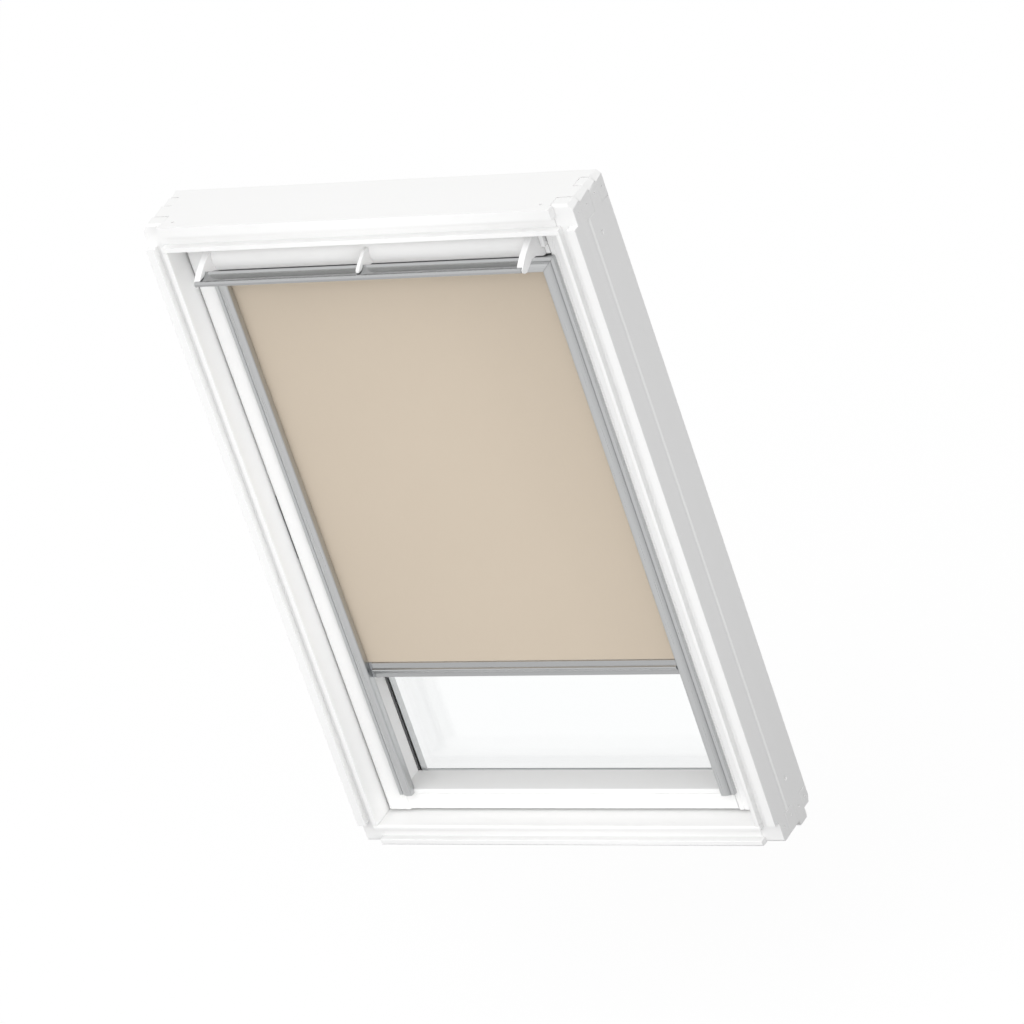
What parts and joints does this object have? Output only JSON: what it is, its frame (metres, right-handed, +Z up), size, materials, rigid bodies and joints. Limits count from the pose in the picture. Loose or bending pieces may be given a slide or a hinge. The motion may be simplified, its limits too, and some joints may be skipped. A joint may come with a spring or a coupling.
{
  "type": "centre pivot roof window with roller blind",
  "caption": "White timber centre-pivot roof window with a ventilation flap, a control bar and a beige blackout roller blind in brushed side rails.",
  "frame": {"origin": "middle of the sill's lower outer face", "axes": "+X to the right seen from the room, +Y from the room to the roof side, +Z up the slope, from the sill to the head"},
  "size_m": [0.78, 0.1695, 1.187],
  "materials": {
    "white_timber": "white satin lacquer",
    "white_metal": "white satin paint",
    "white_plastic": "white satin moulding",
    "brushed_aluminium": "brushed and clear anodised",
    "bare_steel": "zinc plated",
    "grey_plastic": "matt moulding",
    "grey_cover": "grey satin paint",
    "black_rubber": "matt",
    "clear_glass": "clear",
    "beige_cloth": "plain woven blackout cloth"
  },
  "bodies": {
    "frame": {"frame_side_left": "white_timber", "frame_side_right": "white_timber", "frame_head": "white_timber", "frame_sill": "white_timber", "frame_seal": "black_rubber", "striker_plate": "bare_steel", "frame_hinge_plate_left": "bare_steel", "frame_hinge_plate_right": "bare_steel", "hinge_screw_left_lower": "bare_steel", "hinge_screw_left_upper": "bare_steel", "hinge_screw_right_lower": "bare_steel", "hinge_screw_right_upper": "bare_steel", "bracket_screw_left_lower": "white_metal", "bracket_screw_left_upper": "white_metal", "bracket_screw_right_lower": "white_metal", "bracket_screw_right_upper": "white_metal", "head_screw_left": "white_metal", "head_screw_right": "white_metal"},
    "sash": {"sash_stile_left": "white_timber", "sash_stile_right": "white_timber", "sash_bottom_rail": "white_timber", "sash_top_rail": "white_timber", "sash_hinge_plate_left": "bare_steel", "sash_hinge_plate_right": "bare_steel", "pivot_pin_left": "bare_steel", "pivot_pin_right": "bare_steel", "flap_bearing_left": "white_plastic", "flap_bearing_right": "white_plastic", "lock_case": "bare_steel", "inner_pane": "clear_glass", "outer_pane": "clear_glass", "spacer_frame": "brushed_aluminium", "inner_gasket": "black_rubber", "outer_gasket": "black_rubber", "side_cover_left": "grey_cover", "side_cover_right": "grey_cover", "bottom_cover": "grey_cover", "top_cover": "grey_cover", "blind_rail_left": "brushed_aluminium", "blind_rail_right": "brushed_aluminium", "casing_cover": "brushed_aluminium", "casing_housing": "brushed_aluminium", "casing_end_cap_left": "grey_plastic", "casing_end_cap_right": "grey_plastic", "blind_cloth": "beige_cloth"},
    "flap": {"flap_barrel": "white_metal", "flap_end_plate_left": "white_plastic", "flap_end_plate_right": "white_plastic", "flap_middle_bracket": "white_metal", "control_bar": "brushed_aluminium"},
    "roller": {"roller_tube": "brushed_aluminium", "wound_cloth": "beige_cloth", "roller_plug_left": "grey_plastic", "roller_plug_right": "grey_plastic"},
    "blind_bar": {"bottom_bar": "brushed_aluminium", "bottom_bar_cap_left": "grey_plastic", "bottom_bar_cap_right": "grey_plastic"}
  },
  "joints": [
    {"name": "sash_pivot", "type": "hinge", "parent": "frame", "child": "sash", "pos_m": [0, 0, 0.589], "axis": [1, 0, 0], "range_deg": [0, 160]},
    {"name": "flap_hinge", "type": "hinge", "parent": "sash", "child": "flap", "pos_m": [0, -0.0165, 1.1045], "axis": [1, 0, 0], "range_deg": [0, 40]},
    {"name": "blind_slide", "type": "slide", "parent": "sash", "child": "blind_bar", "axis": [0, 0, 1], "range_m": [-0.219, 0.71], "deforming": ["blind_cloth"]},
    {"name": "roller_spin", "type": "hinge", "parent": "sash", "child": "roller", "pos_m": [0, -0.0039, 1.0605], "axis": [1, 0, 0], "range_deg": [-4080, 1265]}
  ],
  "couplings": [
    {"joint": "roller_spin", "follows": "blind_slide", "rad_per_m": -100}
  ]
}
